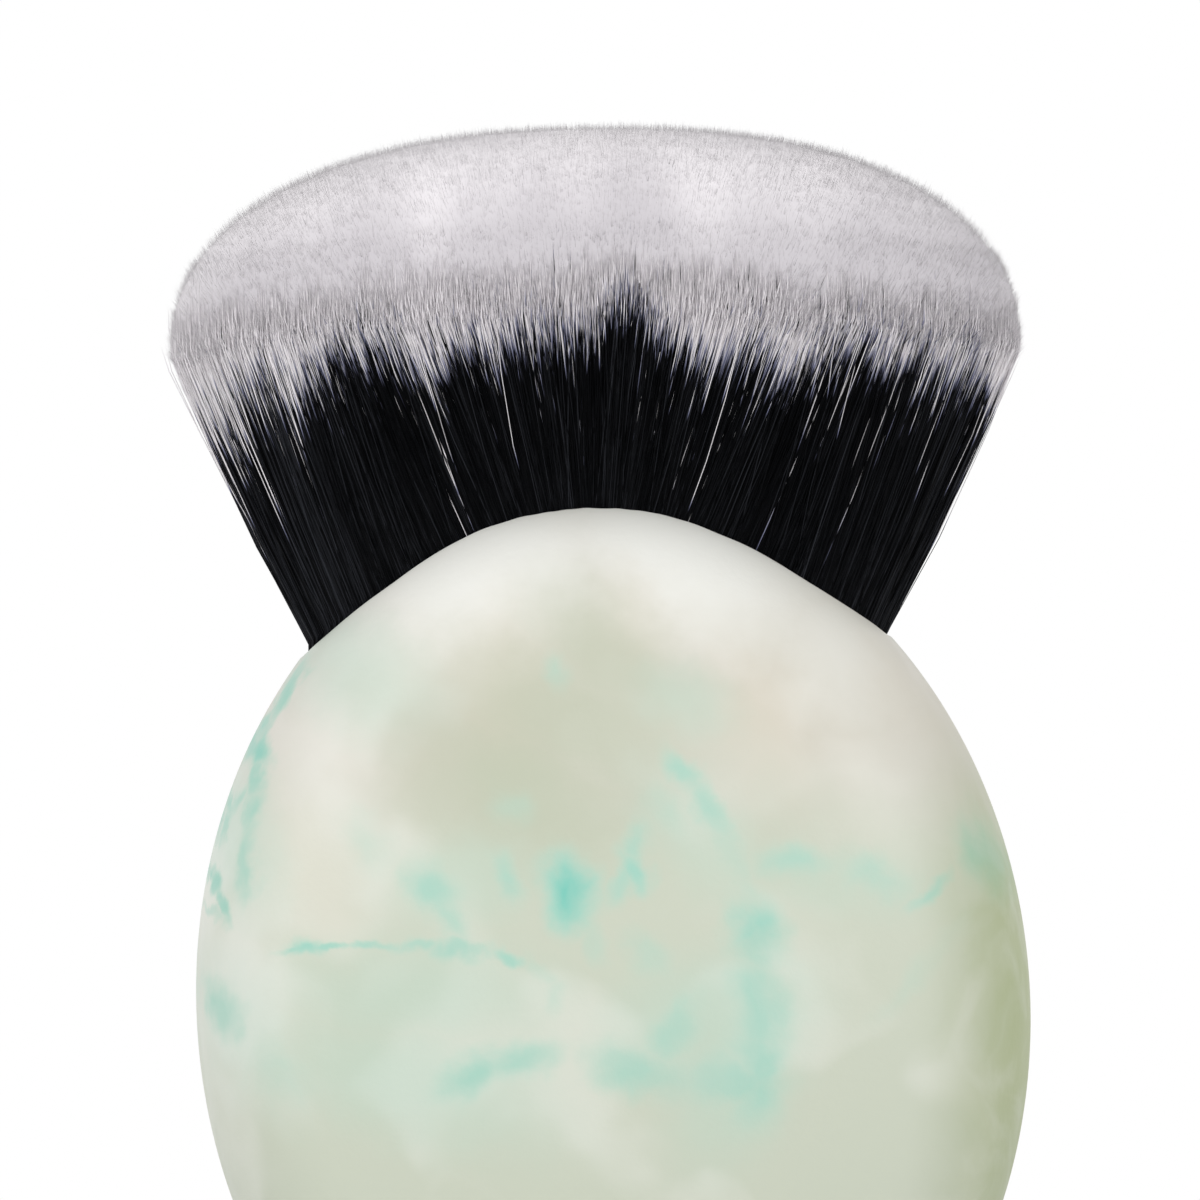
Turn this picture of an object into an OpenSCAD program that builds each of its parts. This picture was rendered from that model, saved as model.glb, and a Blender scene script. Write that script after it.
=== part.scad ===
// Palm brush for bronzer: an oval pebble handle in marbled resin, with a wide domed
// head of fibres that are dyed dark from the root up and left pale at the tips.
// It stands on a small flat foot.
// The front of the brush faces -Y, +Z is up, and the foot lies on z = 0.

/* [Handle] */
// Width of the pebble across its widest line
handle_w = 60; // [54:1:66]
// Thickness of the pebble from front face to back face
handle_t = 35; // [33:1:38]
// Height of the whole oval outline, before the socket and the foot are cut
handle_h = 73; // [68:1:82]
// Slice taken off the bottom of the oval for the foot
foot_cut = 2; // [1.4:0.2:3]
// Radius of the shoulder between the edge and a face
shoulder_r = 11; // [9:0.5:12]
// Radius of the slight crown on the front and back faces
face_r = 70; // [60:2:100]

/* [Socket] */
// Width of the round-ended mouth that the fibres come out of
mouth_w = 42.2; // [39:0.2:44]
// Thickness of the mouth from front to back
mouth_t = 14.4; // [13:0.2:16.4]
// Depth of the socket below the lowest point of the lip
socket_depth = 14; // [11:0.5:18]
// Running gap between the socket wall and what stands in it
fit_gap = 0.15; // [0.1:0.05:0.25]

/* [Ferrule and glue] */
// Wall of the drawn cup that gathers the fibre roots
ferrule_wall = 0.6; // [0.4:0.1:1]
// Height of the cup
ferrule_h = 10; // [7:0.5:10.5]
// Width of the rim turned in at the bottom of the cup
ferrule_rim = 2.4; // [1.6:0.2:3.2]
// Height of the set glue under the fibre roots
glue_h = 3.4; // [2.4:0.2:5]

/* [Bristle head] */
// Width of the head at its widest
head_w = 61.8; // [56:0.2:66]
// Thickness of the head at its widest
head_t = 29; // [24:0.5:33]
// Height of the widest line of the head above the top of the lip
flare_h = 13; // [9:0.2:16]
// Rise of the trimmed edge from the ends to the middle of the head
rim_rise = 4; // [2:0.2:6]
// Rise of the dome above the trimmed edge
dome_rise = 11.4; // [8:0.1:14]
// Fullness of the dome: 2 is an ellipse, and more is squarer
dome_power = 2.8; // [2.2:0.1:3.2]
// Outward bow of the fibres between the lip and the trimmed edge
flare_bow = 0.12; // [0:0.02:0.3]
// Number of locks that the fibres gather into round the head
locks = 92; // [60:4:100]
// Depth of the deepest groove between two locks
lock_depth = 0.5; // [0.2:0.1:0.8]
// Share of the flare that is dyed dark
dye_share = 0.84; // [0.7:0.02:0.88]
// How far the dye runs up one lock and stops short on the next, as a share of the flare
dye_stagger = 0.08; // [0.02:0.01:0.1]

/* [Hidden] */
$fn = 96;
pebble_steps = 72;

// The pebble is a ball with its front and back pressed in to shallow crowned faces. Its profile
// is drawn as radius x against depth y: the ball's arc, a shoulder arc and the face's arc,
// which run into each other. The ball and the face both have their centres on the axis.
half_w = handle_w / 2;
half_t = handle_t / 2;
face_c = half_t - face_r;
ball_to_shoulder = half_w - shoulder_r;
shoulder_y = (ball_to_shoulder ^ 2 - (face_r - shoulder_r) ^ 2 + face_c ^ 2) / (2 * face_c);
shoulder_x = sqrt(ball_to_shoulder ^ 2 - shoulder_y ^ 2);
shoulder_c = [shoulder_x, shoulder_y];
ball_angle = atan2(shoulder_y, shoulder_x);
face_angle = atan2(shoulder_y - face_c, shoulder_x);
ball_end = half_w * sin(ball_angle);
// Points along an arc, without its first, which is the last of the arc before
function arc(c, r, from, to, steps) =
    [for (k = [1 : steps]) let (a = from + (to - from) * k / steps) c + r * [cos(a), sin(a)]];
// A quarter of the profile, from the axis at the back face round to the widest line
pebble_quarter = concat(
    [[0, half_t]],
    arc([0, face_c], face_r, 90, face_angle, 5),
    arc(shoulder_c, shoulder_r, face_angle, ball_angle, 9),
    arc([0, 0], half_w, ball_angle, 0, 3));

widest_z = handle_h / 2 - foot_cut;
stretch = handle_h / handle_w;

// Radius of the round pebble at a depth y, before it is stretched upwards
function pebble_r(y) = abs(y) < ball_end
    ? sqrt(half_w ^ 2 - y ^ 2)
    : shoulder_x + sqrt(max(0, shoulder_r ^ 2 - (abs(y) - shoulder_y) ^ 2));
// Height of the handle's surface above the widest line, over a point of its plan
function surface_z(x, y) = widest_z + stretch * sqrt(max(0, pebble_r(y) ^ 2 - x ^ 2));

// Slots are round-ended, and given as [width, thickness]
mouth = [mouth_w, mouth_t];
lip_low_z = surface_z(mouth_w / 2, 0);
lip_top_z = surface_z(0, mouth_t / 2);
socket_floor_z = lip_low_z - socket_depth;

function inset(slot, d) = slot - [2, 2] * d;
ferrule_outer = inset(mouth, fit_gap);
ferrule_inner = inset(ferrule_outer, ferrule_wall);
ferrule_hole = inset(ferrule_outer, ferrule_rim);
ferrule_seat_z = socket_floor_z + ferrule_wall;
ferrule_top_z = socket_floor_z + ferrule_h;
glue_top_z = ferrule_seat_z + glue_h;

root = inset(ferrule_inner, fit_gap);
throat = inset(mouth, fit_gap);
throat_z = ferrule_top_z + ferrule_wall;
head = [head_w / 2, head_t / 2];
head_wide_z = lip_top_z + flare_h;
crown_z = head_wide_z + rim_rise + dome_rise;

// The head is a loft from a slot to an oval. Every ring has a point on each lock and one
// between, and all the rings are met by the same rays from the middle of the head.
ring = 2 * locks;
dyed_steps = [0, 0.25, 0.5, 0.75, 1];
pale_steps = [0.5, 1];
dome_angles = [14, 28, 42, 56, 70, 81];
groove = rands(0.35, 1, ring, 3);
stagger = rands(-1, 1, ring, 7);

function around(f) = [for (i = [0 : ring - 1]) f(i)];
// Direction of a ray, and how far along it a slot is met
function ray(i) = let (a = 360 * i / ring) [head[0] * cos(a), head[1] * sin(a)];
function slot_reach(slot, d) = let (
        r = slot[1] / 2, c = slot[0] / 2 - r,
        side = abs(d[1]) > 0.001 ? r / abs(d[1]) : slot[0],
        b = abs(d[0]) * c, q = d * d)
    abs(d[0]) * side <= c ? side : (b + sqrt(b ^ 2 - q * (c ^ 2 - r ^ 2))) / q;
function slot_point(slot, i) = ray(i) * slot_reach(slot, ray(i));
function slot_ring(slot, z) = around(function (i) concat(slot_point(slot, i), z));
// Every second point sinks into a groove, by a share of that groove's own depth
function fluted(point, i, share) =
    point - (i % 2) * share * groove[i] * lock_depth * point / norm(point);
// Rise of the dome's arch at a distance of u from its middle, for a half width and height of 1
function arch(u) = max(0, 1 - abs(u) ^ dome_power) ^ (1 / dome_power);
function lip_z(i) = let (p = slot_point(mouth, i)) surface_z(p[0], p[1]);
// Height of the trimmed edge over a point that lies u of the half width from the middle
function rim_z(u) = head_wide_z + rim_rise * (1 - u ^ 2);
function trim_z(i) = rim_z(ray(i)[0] / head[0]);
// Point on the outside of the flare, with s running from 0 at the lip to 1 at the trimmed edge
function flare(i, s) = let (out = s * (1 + flare_bow * (1 - s)), p = slot_point(throat, i))
    concat(fluted(p + out * (ray(i) - p), i, s), lip_z(i) + s * (trim_z(i) - lip_z(i)));
// Point on the dome at angle p, from 0 at the trimmed edge to 90 at the crown
function dome(i, p) = concat(fluted(ray(i) * cos(p), i, cos(p)),
    rim_z(ray(i)[0] / head[0] * cos(p)) + dome_rise * arch(cos(p)));
// Where the dye ends: high on a lock, low in a groove, and never in an even line
function dye_end(i) = dye_share
    + dye_stagger * (stagger[i] / 2 + (i % 2 == 0 ? 0.5 : -0.5));
function dyed(i, k) = flare(i, dye_end(i) * k);
function pale(i, k) = flare(i, dye_end(i) + (1 - dye_end(i)) * k);

dyed_rings = [for (k = dyed_steps) around(function (i) dyed(i, k))];
pale_rings = [for (k = pale_steps) around(function (i) pale(i, k))];
dome_rings = [for (p = dome_angles) around(function (i) dome(i, p))];
dye_ring = dyed_rings[len(dyed_rings) - 1];
dye_mid_z = lip_top_z + dye_share * (head_wide_z + rim_rise - lip_top_z);

// Closed loft through rings of equal count, fanned to a point at its foot and at its top
module loft(foot, rings, top) {
    count = len(rings);
    last = (count - 1) * ring;
    points = concat([for (r = rings) each r], [foot, top]);
    polyhedron(points = points, faces = [
        for (i = [0 : ring - 1]) let (j = (i + 1) % ring) each concat(
            [[i, j, count * ring]],
            [for (k = [0 : count - 2]) let (a = k * ring, b = a + ring)
                each [[a + i, b + i, b + j], [a + i, b + j, a + j]]],
            [[last + i, count * ring + 1, last + j]])
    ], convexity = 6);
}

// The round pebble, turned on its edge and stretched upwards to an oval
module pebble() {
    last = len(pebble_quarter) - 1;
    resize([handle_w, handle_t, handle_h]) rotate([90, 0, 0])
        rotate_extrude($fn = pebble_steps) polygon(concat(pebble_quarter,
            [for (k = [last - 1 : -1 : 0]) [pebble_quarter[k][0], -pebble_quarter[k][1]]]));
}

module slot_prism(slot, z0, z1) {
    flat = slot[0] - slot[1];
    translate([0, 0, z0]) linear_extrude(z1 - z0) {
        square([flat, slot[1]], center = true);
        for (side = [-1, 1]) translate([side * flat / 2, 0]) circle(d = slot[1]);
    }
}

module handle() {
    color("honeydew") difference() {
        translate([0, 0, widest_z]) pebble();
        translate([-handle_w, -handle_t, -handle_h]) cube([2 * handle_w, 2 * handle_t, handle_h]);
        slot_prism(mouth, socket_floor_z, handle_h + handle_t);
    }
}

module ferrule() {
    color("silver") difference() {
        slot_prism(ferrule_outer, socket_floor_z, ferrule_top_z);
        slot_prism(ferrule_inner, ferrule_seat_z, ferrule_top_z + ferrule_h);
        slot_prism(ferrule_hole, socket_floor_z - ferrule_h, ferrule_top_z);
    }
}

module root_glue() {
    color("khaki") {
        slot_prism(root, ferrule_seat_z, glue_top_z);
        slot_prism(inset(ferrule_hole, fit_gap), socket_floor_z, glue_top_z);
    }
}

module bristles() {
    color("#14161c") loft([0, 0, glue_top_z],
        concat([slot_ring(root, glue_top_z), slot_ring(root, ferrule_top_z),
            slot_ring(throat, throat_z)], dyed_rings), [0, 0, dye_mid_z]);
    color("#e4dfe4") loft([0, 0, dye_mid_z],
        concat([dye_ring], pale_rings, dome_rings), [0, 0, crown_z]);
}

handle();
ferrule();
root_glue();
bristles();
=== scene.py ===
import math

import bpy
import numpy as np
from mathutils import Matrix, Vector


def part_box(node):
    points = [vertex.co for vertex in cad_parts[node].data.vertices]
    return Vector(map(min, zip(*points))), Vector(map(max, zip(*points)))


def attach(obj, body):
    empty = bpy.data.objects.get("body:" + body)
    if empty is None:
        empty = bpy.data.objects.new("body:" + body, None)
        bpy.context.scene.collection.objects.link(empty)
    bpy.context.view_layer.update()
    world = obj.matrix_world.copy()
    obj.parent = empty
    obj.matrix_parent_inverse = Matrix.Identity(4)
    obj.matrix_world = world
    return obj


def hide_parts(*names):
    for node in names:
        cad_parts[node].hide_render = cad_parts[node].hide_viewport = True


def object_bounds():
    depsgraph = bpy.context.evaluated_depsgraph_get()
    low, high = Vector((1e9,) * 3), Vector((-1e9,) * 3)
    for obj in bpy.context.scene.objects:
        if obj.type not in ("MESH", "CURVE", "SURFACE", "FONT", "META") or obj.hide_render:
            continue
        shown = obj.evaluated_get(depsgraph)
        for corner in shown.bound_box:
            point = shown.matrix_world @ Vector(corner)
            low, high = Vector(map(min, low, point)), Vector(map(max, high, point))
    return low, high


bl_info = {
    "name": "Bronzer brush",
    "version": (1, 0, 0),
    "blender": (4, 5, 0),
    "location": "3D View > Sidebar > Brush",
    "description": "Palm brush with a marbled pebble handle and a domed head of dipped fibres",
    "category": "Object",
}

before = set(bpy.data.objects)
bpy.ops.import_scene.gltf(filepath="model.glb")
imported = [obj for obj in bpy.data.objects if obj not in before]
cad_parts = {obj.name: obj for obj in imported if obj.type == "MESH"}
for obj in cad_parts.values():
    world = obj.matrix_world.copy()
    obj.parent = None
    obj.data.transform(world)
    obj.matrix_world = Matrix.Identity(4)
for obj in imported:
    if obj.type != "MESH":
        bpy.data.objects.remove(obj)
CAD_BOX = [list(corner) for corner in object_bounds()]
MM = 0.001
FLOOR_Z = CAD_BOX[0][2]
# Seeds of the lip's wobble, of the locks and of the uneven dye on the core
WOBBLE_SEED, LOCK_SEED, STAGGER_SEED = 5, 17, 23
# Width of a piece's baked map, and half the width of one fibre on it, in pixels
MAP_SIZE, FIBRE_PIXELS = 2048, 1.2


def node_box(name):
    """Lowest and highest corner of a CAD node in millimetres."""
    return [np.array(corner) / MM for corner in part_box(name)]


HANDLE_LOW, HANDLE_HIGH = node_box("handle")
HEAD_LOW, HEAD_HIGH = node_box("bristles")


# Settings


class BRONZER_PG_handle(bpy.types.PropertyGroup):
    height: bpy.props.FloatProperty(
        name="Oval height", default=73, description="Height of the whole oval in mm"
    )
    foot_cut: bpy.props.FloatProperty(
        name="Foot cut", default=2, description="Slice taken off for the foot in mm"
    )
    shoulder: bpy.props.FloatProperty(
        name="Shoulder radius", default=11, description="Edge to face radius in mm"
    )
    face: bpy.props.FloatProperty(
        name="Face radius", default=70, description="Crown radius of a face in mm"
    )
    lean: bpy.props.FloatProperty(
        name="Lean",
        default=math.radians(1.35),
        subtype="ANGLE",
        description="How far the middle line leans to the left going up",
    )
    upright_z: bpy.props.FloatProperty(
        name="Upright height", default=54, description="Height in mm that the lean leaves in place"
    )
    mouth_shift: bpy.props.FloatProperty(
        name="Mouth shift", default=-0.6, description="How far the mouth sits to the left in mm"
    )
    crest: bpy.props.FloatProperty(
        name="Crest", default=0.55, description="Extra height of the lip left of its middle in mm"
    )
    lip_round: bpy.props.FloatProperty(
        name="Lip rounding", default=0.35, description="Radius of the lip's edge in mm"
    )
    meridians: bpy.props.IntProperty(
        name="Meridians", default=256, description="Points round the handle"
    )
    rings: bpy.props.IntProperty(
        name="Rings", default=96, description="Rings from the lip to the foot"
    )
    cream: bpy.props.FloatVectorProperty(
        name="Cream", subtype="COLOR", default=(0.625, 0.595, 0.505), description="Resin body"
    )
    whey: bpy.props.FloatVectorProperty(
        name="Whey", subtype="COLOR", default=(0.61, 0.65, 0.535), description="Resin lower down"
    )
    # Milk is the resin's pale haze, and along the lip it is also painted light from above
    milk_and_lip_light: bpy.props.FloatVectorProperty(
        name="Milk", subtype="COLOR", default=(0.89, 0.89, 0.84), description="Pale haze"
    )
    peach: bpy.props.FloatVectorProperty(
        name="Peach", subtype="COLOR", default=(0.68, 0.60, 0.47), description="Warm haze"
    )
    sage: bpy.props.FloatVectorProperty(
        name="Sage", subtype="COLOR", default=(0.525, 0.565, 0.435), description="Dull green haze"
    )
    mist: bpy.props.FloatVectorProperty(
        name="Mist", subtype="COLOR", default=(0.50, 0.70, 0.585), description="Pale mint haze"
    )
    mint: bpy.props.FloatVectorProperty(
        name="Mint", subtype="COLOR", default=(0.20, 0.60, 0.50), description="Mint veins"
    )
    # Olive is painted shade, darkening the lower right flank where the light falls off
    olive_shade: bpy.props.FloatVectorProperty(
        name="Olive", subtype="COLOR", default=(0.40, 0.455, 0.235), description="Right flank"
    )


class BRONZER_PG_fibres(bpy.types.PropertyGroup):
    shift: bpy.props.FloatProperty(
        name="Shift", default=-0.86, description="How far the head sits to the left in mm"
    )
    trim_tilt: bpy.props.FloatProperty(
        name="Trim tilt", default=0.013, description="Rise of the trimmed dome to the right"
    )
    radius: bpy.props.FloatProperty(
        name="Fibre radius", default=0.040, description="Radius of a fibre in mm"
    )
    long_front: bpy.props.IntProperty(name="Front", default=9800, description="Front fibres")
    long_back: bpy.props.IntProperty(name="Back", default=3700, description="Back fibres")
    long_ends: bpy.props.IntProperty(name="Ends", default=3200, description="End fibres")
    tips: bpy.props.IntProperty(name="Tips", default=90000, description="Tips over the dome")
    seed: bpy.props.IntProperty(name="Seed", default=11, description="Seed of the scatter")
    dye_z: bpy.props.FloatProperty(
        name="Dye height", default=82.1, description="Mean height where the dye ends in mm"
    )
    black: bpy.props.FloatVectorProperty(
        name="Black", subtype="COLOR", default=(0.0016, 0.0018, 0.0025), description="Dyed fibre"
    )
    # Grey is partly thinner dye and partly painted glints and sheen on the black fibres
    grey_dye_and_sheen: bpy.props.FloatVectorProperty(
        name="Grey", subtype="COLOR", default=(0.032, 0.034, 0.041), description="Thinly dyed fibre"
    )
    lavender: bpy.props.FloatVectorProperty(
        name="Lavender", subtype="COLOR", default=(0.24, 0.25, 0.38), description="End of the dye"
    )
    white: bpy.props.FloatVectorProperty(
        name="White", subtype="COLOR", default=(0.95, 0.915, 0.94), description="Bare fibre"
    )
    # Painted shade: bare fibre low on the dome and on the core takes this duller colour, paling to
    # white towards the crown
    shade: bpy.props.FloatVectorProperty(
        name="Shade", subtype="COLOR", default=(0.64, 0.612, 0.642), description="Duller bare fibre"
    )


class BRONZER_PG_stage(bpy.types.PropertyGroup):
    distance: bpy.props.FloatProperty(
        name="Camera distance", default=1.2, unit="LENGTH", description="From the middle"
    )
    field: bpy.props.FloatProperty(
        name="Field", default=0.08633, unit="LENGTH", description="Width seen at the brush"
    )
    centre: bpy.props.FloatVectorProperty(
        name="Aim", default=(-0.0005, 0, 0.06364), unit="LENGTH", description="Middle of the view"
    )
    key: bpy.props.FloatProperty(name="Key", default=6.3, description="Key lamp in watts")
    fill: bpy.props.FloatProperty(name="Fill", default=4.8, description="Fill lamp in watts")
    sky: bpy.props.FloatProperty(name="Sky", default=0.64, description="Strength of the sky")


# Shader maths


class Wire:
    """A node's output that stands in a sum: each operation adds its Math node."""

    def __init__(self, graph, socket):
        self.graph = graph
        self.socket = socket

    def out(self, name):
        return Wire(self.graph, self.socket.node.outputs[name])

    def math(self, operation, first, second=0.0):
        return self.graph.node("ShaderNodeMath", {"operation": operation}, {0: first, 1: second})

    def __add__(self, other):
        return self.math("ADD", self, other)

    def __sub__(self, other):
        return self.math("SUBTRACT", self, other)

    def __rsub__(self, other):
        return self.math("SUBTRACT", other, self)

    def __mul__(self, other):
        return self.math("MULTIPLY", self, other)

    def __abs__(self):
        return self.math("ABSOLUTE", self)

    __radd__ = __add__

    def most(self, other):
        return self.math("MAXIMUM", self, other)

    def rise(self, low, high, most=1.0):
        """Smooth step from 0 at low to its most at high."""
        return self.graph.node(
            "ShaderNodeMapRange",
            {"interpolation_type": "SMOOTHSTEP"},
            {"Value": self, "From Min": low, "From Max": high, "To Max": most},
        )


class Graph:
    """The nodes of one material, or of the sky."""

    def __init__(self, owner):
        owner.use_nodes = True
        self.owner = owner
        self.tree = owner.node_tree
        self.tree.nodes.clear()

    def node(self, kind, settings=None, sockets=None, output=0):
        """Adds a node: its settings first, then the values or links of its sockets."""
        made = self.tree.nodes.new(kind)
        for key, value in (settings or {}).items():
            setattr(made, key, value)
        for key, value in (sockets or {}).items():
            if isinstance(value, Wire):
                self.tree.links.new(value.socket, made.inputs[key])
            else:
                made.inputs[key].default_value = value
        return Wire(self, made.outputs[output]) if made.outputs else None

    def vector(self, operation, first, second=(0, 0, 0), output=0, scale=None):
        sockets = {0: first, 1: second}
        if scale is not None:
            sockets["Scale"] = scale
        return self.node("ShaderNodeVectorMath", {"operation": operation}, sockets, output)

    def mix(self, factor, first, second):
        """Mixes two colours."""
        pair = [c if isinstance(c, Wire) else (*c, 1.0) for c in (first, second)]
        return self.node(
            "ShaderNodeMix",
            {"data_type": "RGBA"},
            {0: factor, 6: pair[0], 7: pair[1]},
            output=2,
        )

    def noise(self, place, size, detail=2.0, roughness=0.5, output=0):
        """Noise whose features are about size millimetres across."""
        return self.node(
            "ShaderNodeTexNoise",
            None,
            {"Vector": place, "Scale": 1 / size, "Detail": detail, "Roughness": roughness},
            output,
        )

    def place(self):
        """The point on the object in millimetres."""
        local = self.node("ShaderNodeTexCoord", output="Object")
        return self.vector("SCALE", local, scale=1 / MM)

    def along(self, axis, place):
        """One of a vector's three numbers."""
        return self.node("ShaderNodeSeparateXYZ", None, {0: place}).out(axis)

    def backdrop_rays(self):
        """1 for the rays that see the pale backdrop, straight or in a reflection, else 0."""
        camera = self.node("ShaderNodeLightPath", output="Is Camera Ray")
        return camera.most(camera.out("Is Glossy Ray")).most(camera.out("Is Transmission Ray"))

    def finish(self, surface, output="ShaderNodeOutputMaterial"):
        self.node(output, None, {"Surface": surface})
        return self.owner


def new_material(name):
    return Graph(bpy.data.materials.new(name))


# Meshes


def add_object(name, mesh, material):
    mesh.materials.append(material)
    made = bpy.data.objects.new(name, mesh)
    bpy.context.scene.collection.objects.link(made)
    return made


def fill_mesh(name, points, loops, starts, uv=None):
    """Mesh from arrays: points in millimetres, corner indices, and each face's first corner."""
    mesh = bpy.data.meshes.new(name)
    mesh.vertices.add(len(points))
    mesh.vertices.foreach_set("co", (points * MM).ravel())
    mesh.loops.add(len(loops))
    mesh.loops.foreach_set("vertex_index", loops)
    mesh.polygons.add(len(starts))
    mesh.polygons.foreach_set("loop_start", starts)
    mesh.update(calc_edges=True)
    if uv is not None:
        layer = mesh.uv_layers.new(name="OFBake")
        layer.data.foreach_set("uv", uv[loops].ravel())
    mesh.validate()
    mesh.shade_smooth()
    return mesh


def skin(name, rings, first_pole, last_pole):
    """Closed skin over rings of equal count, fanned to a pole at each end."""
    layers, count, _ = rings.shape
    points = np.concatenate([rings.reshape(-1, 3), [first_pole, last_pole]])
    here = np.arange(count)
    after = (here + 1) % count
    rows = np.arange(layers - 1)[:, None] * count
    quads = np.stack(
        [rows + here, rows + count + here, rows + count + after, rows + after], -1
    ).reshape(-1, 4)
    last = (layers - 1) * count
    first_fan = np.stack([here, after, np.full(count, layers * count)], -1)
    last_fan = np.stack([last + after, last + here, np.full(count, layers * count + 1)], -1)
    loops = np.concatenate([quads.ravel(), first_fan.ravel(), last_fan.ravel()])
    sizes = np.concatenate([np.full(len(quads), 4), np.full(2 * count, 3)])
    starts = np.concatenate([[0], np.cumsum(sizes)[:-1]])
    return fill_mesh(name, points, loops, starts)


# Handle's form


def to_circle(direction, centre, radius):
    """Distance along rays from the origin to the far side of a circle."""
    along = direction @ centre
    return along + np.sqrt(np.maximum(0, along**2 - centre @ centre + radius**2))


class Pebble:
    """A ball pressed to two crowned faces and stretched upwards, as the CAD handle is."""

    def __init__(self, settings):
        self.half_w = (HANDLE_HIGH[0] - HANDLE_LOW[0]) / 2
        self.half_t = (HANDLE_HIGH[1] - HANDLE_LOW[1]) / 2
        self.stretch = settings.height / (2 * self.half_w)
        self.widest_z = settings.height / 2 - settings.foot_cut
        self.shoulder_r = settings.shoulder
        self.face_r = settings.face
        self.face_c = self.half_t - self.face_r
        reach = self.half_w - self.shoulder_r
        y = (reach**2 - (self.face_r - self.shoulder_r) ** 2 + self.face_c**2) / (2 * self.face_c)
        x = math.sqrt(reach**2 - y**2)
        self.shoulder_c = np.array([x, y])
        self.ball_angle = math.atan2(y, x)
        tilt = math.atan2(y - self.face_c, x)
        self.face_angle = math.atan2(
            self.face_c + self.face_r * math.sin(tilt), self.face_r * math.cos(tilt)
        )
        self.lean = math.tan(settings.lean)
        self.upright_z = settings.upright_z

    def reach(self, direction):
        """Distance from the middle to the surface, before the stretch."""
        flat = np.stack(
            [np.hypot(direction[..., 0], direction[..., 2]), np.abs(direction[..., 1])], -1
        )
        angle = np.arctan2(flat[..., 1], flat[..., 0])
        shoulder = to_circle(flat, self.shoulder_c, self.shoulder_r)
        face = to_circle(flat, np.array([0, self.face_c]), self.face_r)
        return np.where(
            angle < self.ball_angle,
            self.half_w,
            np.where(angle < self.face_angle, shoulder, face),
        )

    def at(self, azimuth, elevation):
        """Point of the surface in a direction from the middle."""
        direction = np.stack(
            np.broadcast_arrays(
                np.cos(elevation) * np.cos(azimuth),
                np.cos(elevation) * np.sin(azimuth),
                np.sin(elevation),
            ),
            -1,
        )
        point = direction * self.reach(direction)[..., None]
        point[..., 2] = self.widest_z + self.stretch * point[..., 2]
        return point

    def over(self, x, y):
        """Height of the surface over a point of the plan."""
        y = np.abs(y)
        ball = np.sqrt(np.maximum(0, self.half_w**2 - y**2))
        shoulder = self.shoulder_c[0] + np.sqrt(
            np.maximum(0, self.shoulder_r**2 - (y - self.shoulder_c[1]) ** 2)
        )
        radius = np.where(y < self.half_w * math.sin(self.ball_angle), ball, shoulder)
        return self.widest_z + self.stretch * np.sqrt(np.maximum(0, radius**2 - x**2))

    def elevation(self, point):
        """Elevation of a surface point as seen from the middle, before the stretch."""
        height = (point[..., 2] - self.widest_z) / self.stretch
        return np.arctan2(height, np.hypot(point[..., 0], point[..., 1]))

    def leaned(self, point):
        point = point.copy()
        point[..., 0] -= self.lean * (point[..., 2] - self.upright_z)
        return point


# The mouth's width and thickness, and the socket's depth under the low ends of the lip, in mm
MOUTH = np.array([42.2, 14.4])
SOCKET_DEPTH = 14.0


def slot_reach(slot, azimuth):
    """Distance from the middle to a round-ended slot's outline."""
    r = slot[1] / 2
    c = slot[0] / 2 - r
    dx, dy = np.abs(np.cos(azimuth)), np.abs(np.sin(azimuth))
    side = r / np.maximum(dy, 1e-9)
    end = c * dx + np.sqrt(np.maximum(0, (c * dx) ** 2 - c**2 + r**2))
    return np.where(dx * side <= c, side, end)


def slot_point(slot, azimuth):
    reach = slot_reach(slot, azimuth)
    return np.stack([reach * np.cos(azimuth), reach * np.sin(azimuth)], -1)


def bend(start, corner, end, steps):
    """Points of a quadratic curve past a corner, without its ends."""
    ways = np.linspace(0, 1, steps + 2)[1:-1]
    return [(1 - t) ** 2 * start + 2 * t * (1 - t) * corner + t**2 * end for t in ways]


def even_azimuths(half_w, half_t, count):
    """Directions that space points evenly round an oval."""
    turn = np.linspace(0, 2 * math.pi, 4001)
    x, y = half_w * np.cos(turn), half_t * np.sin(turn)
    length = np.concatenate([[0], np.cumsum(np.hypot(np.diff(x), np.diff(y)))])
    spaced = np.interp(np.linspace(0, length[-1], count, endpoint=False), length, turn)
    return np.arctan2(half_t * np.sin(spaced), half_w * np.cos(spaced))


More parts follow.
